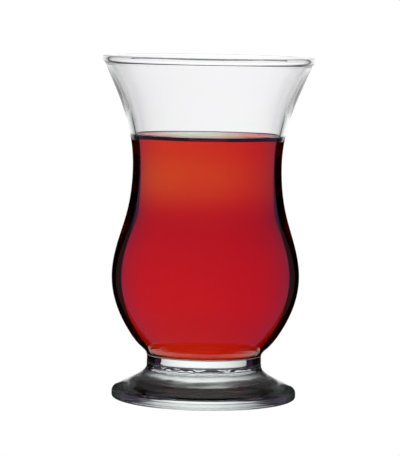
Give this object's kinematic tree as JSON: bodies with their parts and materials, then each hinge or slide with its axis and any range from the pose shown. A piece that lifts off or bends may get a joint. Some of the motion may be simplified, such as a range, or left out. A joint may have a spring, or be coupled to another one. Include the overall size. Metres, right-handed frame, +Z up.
{
  "type": "turkish tea glass",
  "caption": "Footed, waisted clear glass with a round bulb and a flared mouth, served with clear red-brown tea up to above its waist.",
  "frame": {"origin": "centre of the flat ring under the foot, on which the glass stands", "axes": "+Z up along the glass's axis of revolution, out of its mouth; +X and +Y level, all directions round the axis alike"},
  "size_m": [0.06, 0.06, 0.0963],
  "materials": {
    "clear_glass": "clear pressed glass, polished, faint grey-green tint",
    "black_tea": "clear deep red-brown liquid"
  },
  "bodies": {
    "root": {"glass": "clear_glass", "tea": "black_tea"}
  },
  "joints": []
}
